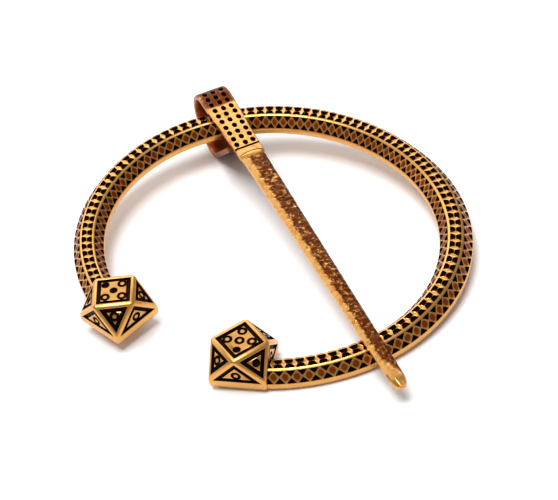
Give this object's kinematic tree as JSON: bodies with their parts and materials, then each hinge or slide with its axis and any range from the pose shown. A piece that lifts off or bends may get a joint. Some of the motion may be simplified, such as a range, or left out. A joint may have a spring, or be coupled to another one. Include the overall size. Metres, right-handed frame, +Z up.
{
  "type": "penannular brooch",
  "caption": "Open-ring cloak brooch of cast brass: a punched oval hoop with faceted knobs on its ends, and a loose pin that turns on the hoop.",
  "frame": {"origin": "middle of the base of the brooch's box, on the surface it lies on", "axes": "+Z up from that surface; the pin lies along Y with its tip towards -Y; the hoop's gap faces -X and -Y"},
  "size_m": [0.0544, 0.0678, 0.0098],
  "materials": {
    "hoop_brass": "cast and polished, black-brown oxide left in the punched triangles and engraved lines",
    "pin_brass": "polished head and edge, rough brown oxidised face along the shaft"
  },
  "bodies": {
    "hoop": {"hoop": "hoop_brass"},
    "pin": {"pin": "pin_brass"}
  },
  "joints": [
    {"name": "pin_swing", "type": "hinge", "parent": "hoop", "child": "pin", "pos_m": [0.00412, 0.02688, 0.0057], "axis": [-0.9998, 0.0008, -0.0181], "range_deg": [0, 180]}
  ]
}
